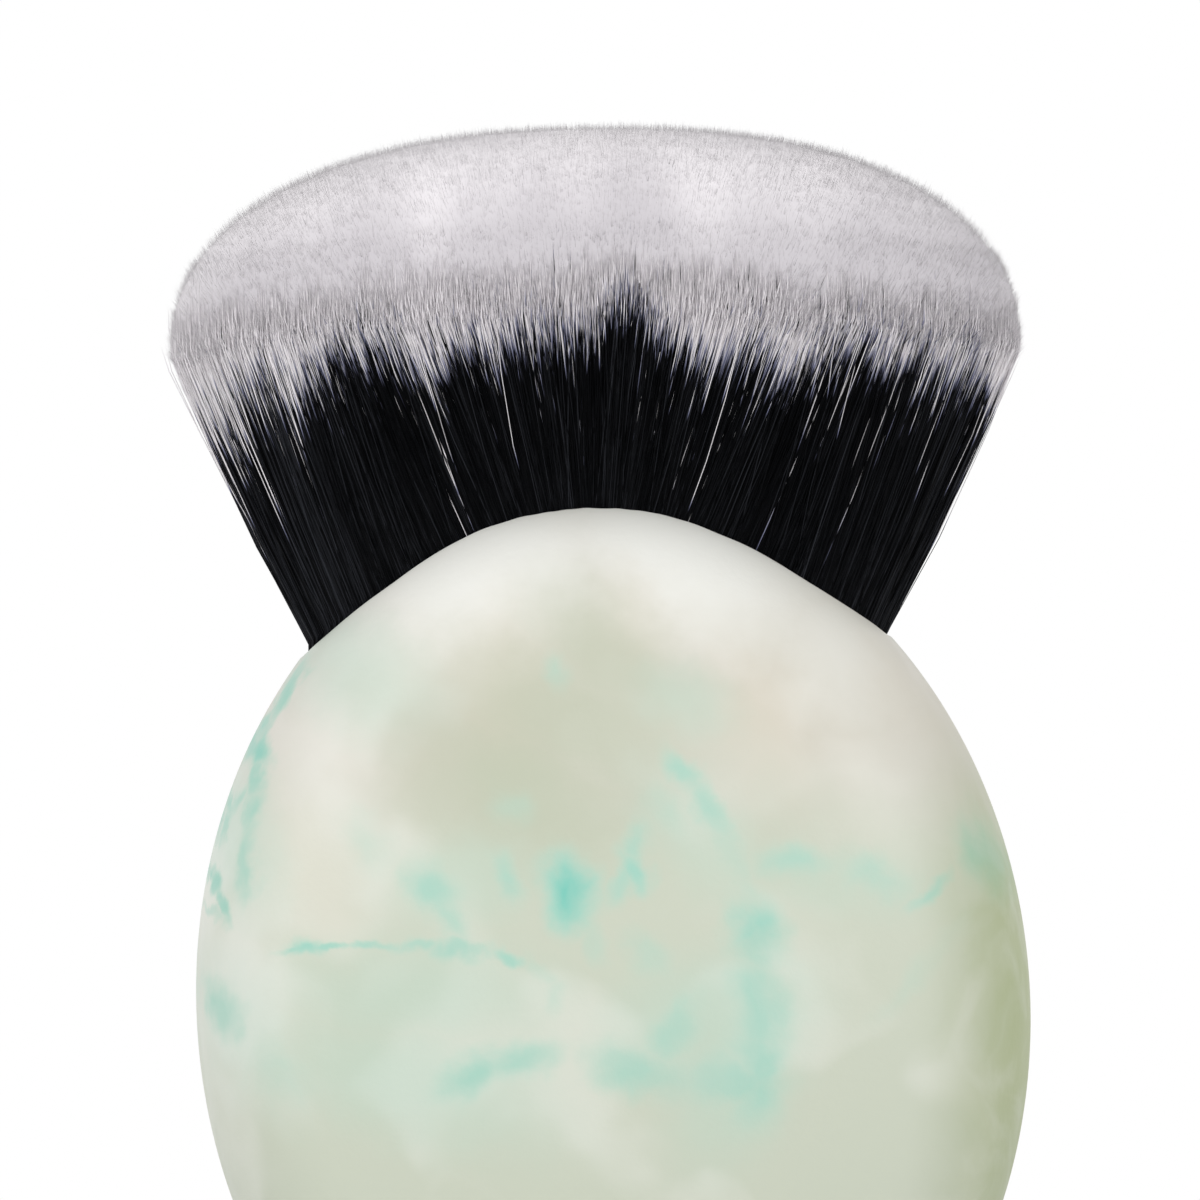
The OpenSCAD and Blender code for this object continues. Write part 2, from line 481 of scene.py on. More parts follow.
def handle_mesh(settings):
    """The pebble from the lip round to the foot, and the socket inside it."""
    pebble = Pebble(settings)
    azimuth = even_azimuths(pebble.half_w, pebble.half_t, settings.meridians)
    rng = np.random.default_rng(WOBBLE_SEED)
    # The lip's edge wanders from the slot in small waves
    wobble = sum(
        rng.normal(0, 0.035) * np.cos(k * azimuth + rng.uniform(0, 6.3)) for k in range(5, 40, 3)
    )
    lip_round = settings.lip_round

    def contour(offset):
        xy = slot_point(MOUTH + 2 * offset, azimuth)
        xy *= 1 + (wobble / np.hypot(xy[:, 0], xy[:, 1]))[:, None]
        xy[:, 0] += settings.mouth_shift
        return np.column_stack([xy, pebble.over(xy[:, 0], xy[:, 1])])

    corner = contour(0)
    outer = contour(lip_round)
    inner = corner - [0, 0, lip_round]
    socket_floor = pebble.over(MOUTH[0] / 2, 0) - SOCKET_DEPTH

    top = pebble.elevation(outer)
    # Where each meridian comes down to the foot's rounding, found by halving
    foot_edge = 0.5
    low, high = np.full(len(azimuth), -1.5), np.zeros(len(azimuth))
    for _ in range(40):
        middle = (low + high) / 2
        above = pebble.at(azimuth, middle)[:, 2] > foot_edge
        high, low = np.where(above, middle, high), np.where(above, low, middle)
    bottom = high
    # The rings start on the lip's contour and turn into even azimuths on the way down
    ways = np.linspace(0, 1, settings.rings)[:, None]
    seen = np.arctan2(outer[:, 1], outer[:, 0])
    turned = np.angle(np.exp(1j * (seen - azimuth)))
    outside = pebble.at(azimuth + turned * (1 - ways) ** 2, top + ways * (bottom - top))
    outside[0] = outer

    side = outside[-1]
    foot_corner = side * [1, 1, 0]
    foot_corner[:, :2] *= 0.985
    foot = foot_corner * [0.97, 0.97, 1]
    walls = [inner + (socket_floor - inner[:, 2:]) * [0, 0, t] for t in (0, 0.25, 0.5, 0.75, 1)]
    rings = (
        walls[::-1]
        + bend(inner, corner, outer, 4)
        + list(outside)
        + bend(side, foot_corner, foot, 3)
        + [foot, foot * [0.6, 0.6, 1]]
    )
    rings = np.array(rings)
    # The crest grows from a height of 56 mm up to the lip, and fades out right of the middle
    near_lip = np.clip((rings[..., 2] - 56) / 12, 0, 1) ** 2
    left = 0.5 - 0.5 * np.tanh((rings[..., 0] - 7) / 5)
    rings[..., 2] += settings.crest * near_lip * left
    rings = pebble.leaned(rings)
    poles = pebble.leaned(np.array([[settings.mouth_shift, 0, socket_floor], [0, 0, 0.0]]))
    return skin("pebble", rings, poles[0], poles[1])


# Handle's material

# Veins and clouds of the marbling on the front, and a band of painted light along the lip,
# as (x, z) in mm down the middle of each, its half width in mm and its strength.
VEINS = [
    ([(-21.6, 59.2), (-24.0, 55.6), (-25.2, 53.2)], 1.0, 0.60),
    ([(-25.3, 53.8), (-25.0, 52.6)], 1.9, 0.75),
    ([(-25.0, 52.4), (-25.2, 49.4), (-25.6, 47.4), (-25.1, 42.6)], 1.1, 0.55),
    ([(-25.9, 50.0), (-27.4, 48.6), (-28.6, 46.2)], 0.9, 0.5),
    ([(-28.7, 44.2), (-27.6, 42.6), (-26.9, 41.2)], 0.8, 0.62),
    ([(-29.2, 41.6), (-27.2, 41.2)], 0.7, 0.35),
    ([(-27.9, 35.6), (-27.2, 34.0)], 2.4, 0.55),
    ([(-23.0, 38.2), (-21.4, 38.7), (-18.9, 39.2), (-15.2, 39.4)], 0.55, 0.55),
    ([(-22.2, 38.5), (-20.8, 38.8)], 1.1, 0.6),
    ([(-15.4, 39.4), (-11.5, 38.9), (-8.4, 38.9), (-5.8, 38.5)], 0.8, 0.5),
    ([(-11.6, 38.9), (-10.0, 38.8)], 1.4, 0.6),
    ([(-13.2, 43.8), (-11.8, 42.2)], 2.4, 0.50),
    ([(-11.8, 42.2), (-10.4, 39.6)], 1.7, 0.40),
    ([(-7.3, 44.4), (-7.1, 43.0)], 1.6, 0.42),
    ([(-7.0, 49.2), (-6.4, 48.6)], 2.0, 0.20),
    ([(-17.2, 47.4), (-16.6, 46.0)], 2.6, 0.18),
    ([(-5.2, 38.4), (-4.0, 36.2), (-3.8, 34.6)], 0.9, 0.18),
    ([(-3.0, 43.4), (-2.4, 42.4)], 3.3, 0.9),
    ([(-1.0, 41.2), (-0.2, 38.6)], 1.2, 0.25),
    ([(1.6, 44.9), (2.4, 43.6)], 1.5, 0.55),
    ([(2.4, 47.6), (1.9, 44.9), (0.6, 42.6)], 1.5, 0.40),
    ([(3.2, 49.4), (5.0, 48.0)], 1.8, 0.20),
    ([(4.4, 52.6), (6.6, 50.2), (8.3, 47.6)], 1.5, 0.45),
    ([(7.4, 48.6), (8.6, 46.8)], 1.2, 0.30),
    ([(8.3, 47.4), (9.9, 43.8), (10.9, 41.4)], 1.5, 0.25),
    ([(10.6, 40.8), (11.0, 38.6)], 3.4, 0.62),
    ([(11.0, 37.4), (10.5, 32.8), (10.7, 28.4)], 3.4, 0.50),
    ([(2.4, 39.2), (3.2, 38.2)], 2.0, 0.26),
    ([(11.8, 45.4), (15.0, 45.2)], 2.0, 0.42),
    ([(18.0, 44.6), (20.0, 43.2)], 2.2, 0.36),
    ([(21.9, 41.9), (23.6, 44.0)], 0.9, 0.48),
    ([(19.4, 35.0), (25.2, 40.4)], 1.4, 0.14),
    ([(26.6, 46.6), (27.8, 43.8)], 3.0, 0.60),
    ([(5.2, 34.4), (4.0, 32.0)], 2.0, 0.45),
    ([(0.0, 30.6), (5.5, 29.8), (11.4, 29.6)], 2.8, 0.50),
    ([(-10.8, 29.4), (-7.6, 30.8), (-4.6, 31.2)], 2.2, 0.50),
    ([(-24.0, 30.4), (-22.6, 29.0)], 3.0, 0.22),
    ([(-3.9, 58.8), (-3.3, 58.0)], 1.3, 0.30),
]
CLOUDS = {
    "milk_and_lip_light": [
        # Painted light: this broad milk band along the lip pales the top, where light from above
        # falls
        ([(-16, 65), (-2, 69), (12, 67)], 12, 1.0),
        ([(14, 64), (19, 58)], 8, 0.6),
        ([(-21, 57), (-18, 50)], 7, 0.30),
        ([(21, 55), (20, 50)], 8, 0.30),
        ([(-27, 40), (-26, 30)], 5, 0.5),
        ([(-28, 52), (-29, 40)], 4, 0.6),
    ],
    "peach": [
        ([(-7.6, 61), (-7.2, 54)], 5, 0.30),
        ([(10.6, 57), (11.2, 53)], 5, 0.35),
        ([(-21.5, 46), (-20, 41)], 5, 0.25),
        ([(1.4, 63.5), (2.2, 62.0)], 4, 0.2),
        ([(20, 60), (23, 56)], 4, 0.2),
    ],
    "sage": [
        ([(-2.0, 61), (1.5, 57)], 7, 0.7),
        ([(-9, 52), (-3, 49)], 9, 0.85),
        ([(-8, 56), (4, 54)], 9, 0.75),
        ([(-13, 52), (-10, 49)], 6, 0.5),
        ([(10, 50), (14, 47)], 7, 0.3),
    ],
    "mist": [
        ([(-20, 36.5), (-7, 35)], 6, 0.38),
        ([(-20, 31), (-8, 28)], 7, 0.42),
        ([(-27, 36), (-24, 30)], 6, 0.30),
        ([(-27.5, 51), (-26.5, 44)], 5, 0.45),
        ([(-12, 43), (-9, 44)], 5, 0.30),
        ([(4, 33), (10, 35), (8, 28)], 7, 0.48),
        ([(4, 49), (9, 45)], 5, 0.32),
        ([(12, 45), (20, 43)], 4, 0.25),
        ([(4.5, 57.2), (6.8, 56.6)], 4, 0.35),
        ([(-20, 60), (-16, 57)], 6, 0.40),
    ],
}


BRUSH_TURN = math.pi / 12


def turned_places(graph, place):
    """The place on the front as seen along each of twelve directions."""
    return [
        graph.node(
            "ShaderNodeVectorRotate",
            {"rotation_type": "Y_AXIS"},
            {"Vector": place, "Angle": turn * BRUSH_TURN},
        )
        for turn in range(12)
    ]


def painted(graph, turned, strokes):
    """How strongly a set of soft strokes shows, with an oval on each stretch of a stroke."""
    marks = None
    for points, width, strength in strokes:
        for (x0, z0), (x1, z1) in zip(points, points[1:]):
            turn = round(math.atan2(z1 - z0, x1 - x0) / BRUSH_TURN) % 12
            cos, sin = math.cos(turn * BRUSH_TURN), math.sin(turn * BRUSH_TURN)
            x, z = (x0 + x1) / 2, (z0 + z1) / 2
            half = 0.72 * math.hypot(x1 - x0, z1 - z0) + width
            middle = (-(x * cos + z * sin) / half, 0.0, (x * sin - z * cos) / width)
            oval = graph.node(
                "ShaderNodeVectorMath",
                {"operation": "MULTIPLY_ADD"},
                {0: turned[turn], 1: (1 / half, 0.0, 1 / width), 2: middle},
            )
            mark = graph.vector("LENGTH", oval, output="Value").rise(1.0, 0.08, strength)
            marks = mark if marks is None else marks.most(mark)
    return marks


def handle_material(settings):
    """Satin cast resin: cream with milky, peach and sage haze, and veins of mint, with painted
    light along the lip and painted olive shade low on the right flank.
    """
    g = new_material("marbled_resin")
    place = g.place()
    swirl = g.vector("SUBTRACT", g.noise(place, 9, 1.5, output="Color"), (0.5, 0.5, 0.5))
    ripple = g.vector("SUBTRACT", g.noise(place, 2.2, 3, output="Color"), (0.5, 0.5, 0.5))
    bends = [g.vector("SCALE", swirl, scale=2.4), g.vector("SCALE", ripple, scale=2.2)]
    drift = g.vector("ADD", *bends)
    drifted = g.vector("ADD", place, drift)
    turned = turned_places(g, drifted)
    front = g.along("Y", place).rise(5, -3)
    rest = 1 - front

    folded = g.vector("ADD", place, g.vector("SCALE", swirl, scale=14))
    haze = g.noise(folded, 16, 2)
    cloud = g.noise(g.vector("ADD", folded, (40, 10, 0)), 13, 3)
    vein_noise = g.noise(g.vector("MULTIPLY", folded, (1, 1, 1.8)), 11, 3)
    vein = abs(vein_noise - 0.5).rise(0.06, 0.0) * g.noise(place, 9, 1).rise(0.50, 0.68)

    height = g.along("Z", drifted)
    base = g.mix(height.rise(44, 54), settings.whey, settings.cream)
    colour = g.mix(haze.rise(0.45, 0.65) * 0.35, base, settings.milk_and_lip_light)
    # On the front the milk strokes include the painted light along the lip; on the back they are
    # haze
    for name, back_mask in (
        ("milk_and_lip_light", cloud.rise(0.6, 0.75) * 0.7),
        ("peach", haze.rise(0.42, 0.3) * 0.6),
        ("sage", cloud.rise(0.46, 0.34) * 0.6),
        ("mist", cloud.rise(0.5, 0.66) * 0.8),
    ):
        mask = painted(g, turned, CLOUDS[name]) * front + back_mask * rest
        colour = g.mix(mask, colour, getattr(settings, name))
    veins = painted(g, turned, VEINS) * front
    smoke = g.noise(g.vector("ADD", folded, (7, 3, 21)), 4.5, 3).rise(0.30, 0.66)
    colour = g.mix(veins * (smoke + 0.8), colour, settings.mist)
    mask = veins * veins * (smoke * 0.45 + 0.9) + vein * rest * (smoke * 0.5 + 0.2)
    colour = g.mix(mask, colour, settings.mint)
    # Painted shade: the lower right flank turns darker and olive, mottled by the smoke
    flank_shade = g.along("X", place).rise(21, 31) * height.rise(64, 40) * (smoke * 0.35 + 0.72)
    colour = g.mix(flank_shade * 0.9, colour, settings.olive_shade)

    grain = g.noise(place, 0.5, 3)
    bump = g.node(
        "ShaderNodeBump", None, {"Strength": 0.06, "Distance": 0.0003, "Height": grain}
    )
    shader = g.node(
        "ShaderNodeBsdfPrincipled",
        None,
        {
            "Base Color": colour,
            "Roughness": 0.40 + g.noise(place, 6, 2) * 0.10,
            "Specular IOR Level": 0.35,
            "Normal": bump,
        },
    )
    return g.finish(shader)


# Fibre head


# Where the dye's end rises or dips, as (x, spread, rise) in mm
FRONT_TONGUES = (
    (-20.5, 2.0, -1.3),
    (-16.0, 2.0, -0.1),
    (-11.8, 1.8, -2.6),
    (-4.0, 2.0, 1.3),
    (2.6, 3.0, 2.2),
    (7.9, 2.3, -1.9),
    (12.2, 1.8, -0.3),
    (15.5, 2.2, -0.9),
    (20.0, 1.8, 0.6),
    (24.0, 2.0, 0.2),
    (27.5, 1.8, 2.6),
)
BACK_TONGUES = (
    (-18, 3, 0.9),
    (-9, 2.6, -1.0),
    (-3, 3.2, 1.6),
    (6, 2.2, -0.7),
    (12, 3.0, 1.4),
    (21, 2.4, -0.9),
)


class Head:
    """The head's form: a slot at the lip that fans out to an oval, trimmed to a dome."""

    # Fullness of the dome, where 2 is an ellipse
    power = 2.69
    # In mm: the dome over its edge, the edge's middle over its ends, and those over the lip
    dome_rise = 13.85
    rim_rise = 2.57
    flare_h = 11.64
    # Outward bow of the flare, as a share of its spread
    bow = 0.09
    # Core's depth under the outer surface in mm, in the flare and at the edge
    core_depth = 0.6
    edge_depth = 0.32

    def __init__(self, context):
        handle, fibres = context.scene.brush_handle, context.scene.brush_fibres
        self.pebble = Pebble(handle)
        self.half_w = (HEAD_HIGH[0] - HEAD_LOW[0]) / 2 - 0.3
        self.half_t = (HEAD_HIGH[1] - HEAD_LOW[1]) / 2 - 0.3
        self.throat = MOUTH - [1.0, 0.3]
        self.rim = float(self.pebble.over(0, MOUTH[1] / 2)) + self.flare_h
        self.shift = fibres.shift
        self.tilt = fibres.trim_tilt
        self.dye_z = fibres.dye_z

    def ray(self, turn):
        return np.stack([self.half_w * np.cos(turn), self.half_t * np.sin(turn)], -1)

    def outer_root(self, turn):
        ray = self.ray(turn)
        return slot_point(self.throat, np.arctan2(ray[..., 1], ray[..., 0]))

    def lip(self, turn):
        ray = self.ray(turn)
        xy = slot_point(MOUTH, np.arctan2(ray[..., 1], ray[..., 0]))
        return self.pebble.over(xy[..., 0], xy[..., 1])

    def arch(self, inward):
        """The dome's rise at a share of the radius, from 0 at its edge to 1 at its crown."""
        return np.maximum(0, 1 - inward**self.power) ** (1 / self.power)

    def top(self, turn, inward):
        """Height of the trimmed dome where a fibre of that share of the radius ends."""
        x = inward * np.cos(turn)
        return self.rim + self.rim_rise * (1 - x**2) + self.dome_rise * self.arch(inward)

    def at(self, turn, inward, way):
        """Point on the fibre rooted at turn and inward, from 0 at the lip to 1 at its tip."""
        turn, inward, way = np.broadcast_arrays(turn, inward, way)
        root, ray = self.outer_root(turn), self.ray(turn)
        out = np.maximum(way, 0) * (1 + self.bow * (1 - way))
        xy = inward[..., None] * (root + out[..., None] * (ray - root))
        low = self.lip(turn)
        z = low + way * (self.top(turn, inward) - low)
        z = z + self.tilt * xy[..., 0] * np.clip(way, 0, 1)
        return np.concatenate([xy, z[..., None]], -1)

    def placed(self, points):
        return points + [self.shift, 0, 0]

    def dye_line(self, points):
        """Height where the dye ends, with the tongues and dips of the front and back."""
        x, y = points[..., 0], points[..., 1]
        line = self.dye_z - 7.0 * (np.abs(x - 1.0) / 30) ** 6
        front = 1 / (1 + np.exp(y * 0.8))
        for share, tongues in ((front, FRONT_TONGUES), (1 - front, BACK_TONGUES)):
            for middle, spread, rise in tongues:
                line = line + share * rise * np.exp(-(((x - middle) / spread) ** 2))
        return line

    def wear_and_sheen(self, turn):
        """How much thinner the dye is towards the two ends of the head; the greyer tone it gives
        there is partly painted sheen, most at the left end.
        """
        x = self.half_w * np.cos(turn)
        return 0.26 * np.clip((-x - 17) / 10, 0, 1) + 0.14 * np.clip((x - 20) / 9, 0, 1)

    def spread_turns(self, rng, count, low, high):
        """Random turns, even along the oval between two turns."""
        turn = np.linspace(low, high, 2001)
        step = np.hypot(self.half_w * np.sin(turn), self.half_t * np.cos(turn))
        length = np.concatenate([[0], np.cumsum((step[1:] + step[:-1]) / 2)])
        return np.interp(rng.uniform(0, length[-1], count), length, turn)


# Heights over the dye's end, in mm, at the foot and the top of a fibre's map
DYE_SPAN = (-44.0, 20.0)


def dye_to_v(height):
    """A height over the dye's end in mm as a place on the fibre's map."""
    return np.clip((height - DYE_SPAN[0]) / (DYE_SPAN[1] - DYE_SPAN[0]), 0.003, 0.997)


def fibre_mesh(name, rng, spine, radius, tone, height):
    """Closed three-sided fibres, drawn to a point, along spines of (fibres, points, 3) in mm."""
    count, rings, _ = spine.shape
    rings -= 1
    along = spine[:, -1] - spine[:, 0]
    along /= np.linalg.norm(along, axis=1, keepdims=True)
    side = np.cross(along, rng.normal(size=(count, 3)))
    side /= np.linalg.norm(side, axis=1, keepdims=True)
    other = np.cross(along, side)
    third = np.arange(3) * 2 * math.pi / 3
    spoke = (
        np.cos(third)[None, :, None] * side[:, None, :]
        + np.sin(third)[None, :, None] * other[:, None, :]
    )
    tube = spine[:, :-1, None, :] + radius[:, :, None, None] * spoke[:, None, :, :]
    points = np.concatenate([tube.reshape(count, -1, 3), spine[:, -1:]], 1)

    ring = np.arange(rings - 1)[:, None] * 3
    here, after = np.arange(3), (np.arange(3) + 1) % 3
    quads = np.stack([ring + here, ring + after, ring + 3 + after, ring + 3 + here], -1).ravel()
    last, tip = (rings - 1) * 3, rings * 3
    ends = [0, 2, 1, last, last + 1, tip, last + 1, last + 2, tip, last + 2, last, tip]
    one = np.concatenate([quads, ends])
    sizes = np.concatenate([np.full(3 * (rings - 1), 4), np.full(4, 3)])
    one_starts = np.concatenate([[0], np.cumsum(sizes)[:-1]])
    loops = (one[None] + np.arange(count)[:, None] * (tip + 1)).ravel()
    starts = (one_starts[None] + np.arange(count)[:, None] * len(one)).ravel()

    width = np.concatenate([np.tile([-1.0, 0.0, 1.0], rings), [0.0]]) * FIBRE_PIXELS / MAP_SIZE
    u = np.clip(tone, 0.01, 0.99)[:, None] + width[None]
    v = dye_to_v(np.concatenate([np.repeat(height[:, :-1], 3, axis=1), height[:, -1:]], 1))
    uv = np.stack([u, v], -1).reshape(-1, 2)
    return fill_mesh(name, points.reshape(-1, 3), loops, starts, uv)


def dye_offsets(rng, count, far):
    """How far up each fibre the dye ran, and how sharply it ends.

    Some fibres took the dye far higher, some lost it lower down, and a few lost most of it.
    """
    offset = rng.normal(-0.1, 1.05, count)
    fade = rng.uniform(1.0, 2.6, count)
    draw = rng.uniform(size=count)
    offset = np.where(draw < 0.05, rng.exponential(2.3, count) + 0.4, offset)
    offset = np.where(draw > 0.90, -rng.exponential(2.1, count) - 0.5, offset)
    offset = np.where(draw < far, rng.uniform(3, 9, count), offset)
    faint = draw > 0.995
    offset = np.where(faint, -rng.uniform(3, 15, count), offset)
    return offset, np.where(faint, rng.uniform(0.25, 0.7, count), fade)


def lock_pull(turn, locks=64):
    """Place within a lock, from -1 to 1, and that lock's own random number."""
    rng = np.random.default_rng(LOCK_SEED)
    edges = np.sort((np.arange(locks) + rng.uniform(-0.35, 0.35, locks)) / locks) * 2 * math.pi
    wrapped = np.mod(turn, 2 * math.pi)
    index = np.searchsorted(edges, wrapped) % locks
    before = edges[index - 1] - np.where(index == 0, 2 * math.pi, 0)
    after = edges[index]
    first = (index == 0) & (wrapped > edges[-1])
    wrapped = np.where(first, wrapped - 2 * math.pi, wrapped)
    place = 2 * (wrapped - before) / (after - before) - 1
    return place, rng.normal(size=locks)[index]


def long_fibres(head, rng, count, first, last, radius):
    """Fibres that run from inside the mouth up to the trimmed edge, near the outside."""
    turn = head.spread_turns(rng, count, first, last)
    # Most lie in the outermost half millimetre, and some stand deeper
    depth = rng.uniform(0, 0.55, count)
    deep = rng.uniform(size=count) < 0.3
    depth = np.where(deep, np.minimum(0.4 + rng.exponential(0.9, count), 4), depth)
    inward = 1 - depth / np.linalg.norm(head.ray(turn), axis=1)
    ways = np.array([-0.08, 0.0, 0.35, 0.7, 0.92, 1.0])
    cut = 1 - 0.18 * rng.uniform(0, 1, count)[:, None] * (ways[None] > 0)
    # They keep to the outside: out along the flare, then straight up to the dome over the edge
    low, edge = head.lip(turn), head.top(turn, 1.0)
    way = ways[None] * cut * ((head.top(turn, inward) - low) / (edge - low))[:, None]
    spine = head.at(turn[:, None], 1.0, np.minimum(way, 1))
    spine[..., 2] += np.maximum(way - 1, 0) * (edge - low)[:, None]
    spine[..., :2] *= inward[:, None, None]
    step = np.clip(ways, 0, 1)[None, :]

    outward = head.ray(turn) / [head.half_w**2, head.half_t**2]
    outward /= np.linalg.norm(outward, axis=1, keepdims=True)
    around = np.stack([-outward[:, 1], outward[:, 0]], -1)
    place, luck = lock_pull(turn)
    # A few stray, more of them at the two ends of the head
    ends = np.clip((np.abs(head.half_w * np.cos(turn)) - 24) / 5, 0, 1)
    loose = rng.uniform(size=count) < 0.003 + 0.008 * ends
    astray = np.where(rng.uniform(size=count) < 0.25, 2.0, 1.0) + loose * 2
    # Sway goes round the head and lift goes out of it, both in mm
    sway = rng.normal(0, 0.12, count)[:, None] * (1 - step)
    sway = sway + (rng.normal(0, 0.55, count) * astray)[:, None] * step
    sway = sway + (rng.normal(0, 0.12, count) * astray)[:, None] * np.sin(math.pi * step)
    sway = sway - (place * 0.38)[:, None] * step**2
    lift = rng.normal(0, 0.06, count)[:, None] * step
    bulge = np.abs(rng.normal(0, 0.06, count)) + loose * rng.uniform(0.1, 0.45, count)
    lift = lift + bulge[:, None] * np.sin(math.pi * step)
    lift = lift + (luck * 0.08 - 0.14 * place**2)[:, None] * step
    spine[..., :2] += sway[..., None] * around[:, None] + lift[..., None] * outward[:, None]
    spine[:, -1, 2] += rng.normal(0, 0.22, count)

    # The dye runs higher on some locks, and lower in the grooves, at the ends and on strays
    offset, fade = dye_offsets(rng, count, 0.015)
    offset += luck * 0.7 - 0.4 * place**2
    offset -= head.wear_and_sheen(turn) * 24 * rng.uniform(0, 1, count) ** 2
    offset -= loose * ends * rng.uniform(0, 12, count)
    height = (spine[..., 2] - head.dye_line(spine) - offset[:, None]) * fade[:, None]
    width = radius * rng.uniform(0.75, 1.25, count)[:, None] * np.array([[1, 1, 1, 1, 0.9]])
    # Tone rises towards the ends, partly as painted sheen where the light from the left strikes
    tone = rng.beta(2.2, 2.6, count) + head.wear_and_sheen(turn)
    return fibre_mesh("fibres", rng, head.placed(spine), width, tone, height)


def tip_fibres(head, rng, turn, inward, radius):
    """The upper ends of the fibres that stand inside the head."""
    count = len(turn)
    length = head.top(turn, inward) - head.lip(turn)
    arch = head.arch(inward)
    below = np.minimum(0.5 * head.dome_rise * arch, 3) * rng.uniform(0.3, 1, count)
    way = 1 - (rng.uniform(1.2, 2.6, count) + below) / length
    spine = head.at(turn[:, None], inward[:, None], np.stack([way, np.ones(count)], -1))
    spine[:, :, :2] += rng.normal(0, 0.12, (count, 1, 2))
    spine[:, 1, :2] += rng.normal(0, 0.14, (count, 2))
    spine[:, 0, :2] *= 1 - 0.45 / head.half_t
    spine[:, 1, 2] += rng.normal(0, 0.14, count)
    offset, fade = dye_offsets(rng, count, 0.009)
    height = (spine[..., 2] - head.dye_line(spine) - offset[:, None]) * fade[:, None]
    width = radius * rng.uniform(1.3, 2.1, count)[:, None]
    x, y = spine[:, 1, 0], spine[:, 1, 1]
    # Paler towards the crown as painted light from above, and duller near the dome's edge as
    # painted shade, with broad soft patches
    broad = np.cos(x / 7 + 0.6) * np.cos(y / 5 - x / 19) + np.cos(x / 11 - y / 6 + 2)
    tone = 0.02 + 0.40 * arch**2 + 0.04 * broad + rng.normal(0, 0.05, count)
    return fibre_mesh("tips", rng, head.placed(spine), width, tone, height)


def core_mesh(head):
    """Closed body just under the fibres, dyed as they are; its bare part is duller low down, as
    painted shade.
    """
    columns, flare_rows, tone = 360, 18, 0.05
    turn = np.linspace(0, 2 * math.pi, columns, endpoint=False)
    reach = np.linalg.norm(head.ray(turn), axis=1)
    under, deeper = 1 - head.edge_depth / reach, 1 - head.core_depth / reach
    inset = np.stack([deeper, deeper, np.ones(columns)], -1)
    rows = [head.at(turn, 1.0, way) * inset for way in np.linspace(-0.1, 1, flare_rows)]
    wall = head.at(turn, under, 1.0) - [0, 0, 0.7] - rows[-1]
    rows += [rows[-1] + 0.35 * wall, rows[-1] + 0.7 * wall]
    # Shares of the radius from the dome's edge to its crown
    for share in (0.995, 0.985, 0.96, 0.92, 0.85, 0.75, 0.62, 0.46, 0.3, 0.15):
        row = head.at(turn, under * share, 1.0)
        rows.append(row - [0, 0, 0.4 + 0.3 * share**3])
    rings = np.array(rows)
    first = rings[0].mean(0)
    last = rings[-1].mean(0) + [0, 0, 0.1]
    mesh = skin("core", head.placed(rings), head.placed(first), head.placed(last))
    points = np.empty(len(mesh.vertices) * 3)
    mesh.vertices.foreach_get("co", points)
    points = points.reshape(-1, 3) / MM - [head.shift, 0, 0]
    rng = np.random.default_rng(STAGGER_SEED)
    stagger = np.resize(rng.normal(0, 1.2, columns), len(points))
    stagger[flare_rows * columns :] = 0
    v = dye_to_v(points[:, 2] - head.dye_line(points) - stagger)
    loops = np.empty(len(mesh.loops), int)
    mesh.loops.foreach_get("vertex_index", loops)
    column = loops % columns
    sizes = np.empty(len(mesh.polygons), int)
    mesh.polygons.foreach_get("loop_total", sizes)
    face = np.repeat(np.arange(len(sizes)), sizes)
    starts = np.concatenate([[0], np.cumsum(sizes)[:-1]])
    # All columns of faces lie on one strip of the map, three pixels wide
    side = np.where(column == column[starts][face], -1.5, 1.5) / MAP_SIZE
    uv = np.stack([tone + side, v[loops]], -1)
    layer = mesh.uv_layers.new(name="OFBake")
    layer.data.foreach_set("uv", uv.ravel())
    return mesh


def fibre_material(settings):
    """Soft fibre, black from the root up, with a bluish end to the dye and bare pale tips."""
    g = new_material("dipped_fibre")
    spot = g.node("ShaderNodeUVMap", {"uv_map": "OFBake"})
    parts = g.node("ShaderNodeSeparateXYZ", None, {0: spot})
    tone, v = parts.out("X"), parts.out("Y")
    height = v * (DYE_SPAN[1] - DYE_SPAN[0]) + DYE_SPAN[0]
    # Tone greys the black: random per fibre, and partly painted glints and sheen
    dark = g.mix(tone.rise(0.5, 1.1), settings.black, settings.grey_dye_and_sheen)
    # Painted shade and light: the core and the tips are duller low on the dome, paling to white
    # towards the crown
    inner = g.mix(height.rise(6, 15), settings.shade, settings.white)
    pale = g.mix(tone.rise(0.05, 0.4), inner, settings.white)
    worn = g.mix(height.rise(-1.5, 0.4), dark, settings.lavender)
    colour = g.mix(height.rise(-0.3, 2.2), worn, pale)
    shader = g.node(
        "ShaderNodeBsdfPrincipled",
        None,
        {
            "Base Color": colour,
            "Roughness": 0.48,
            "Specular IOR Level": 0.06,
        },
    )
    return g.finish(shader)


# Operators


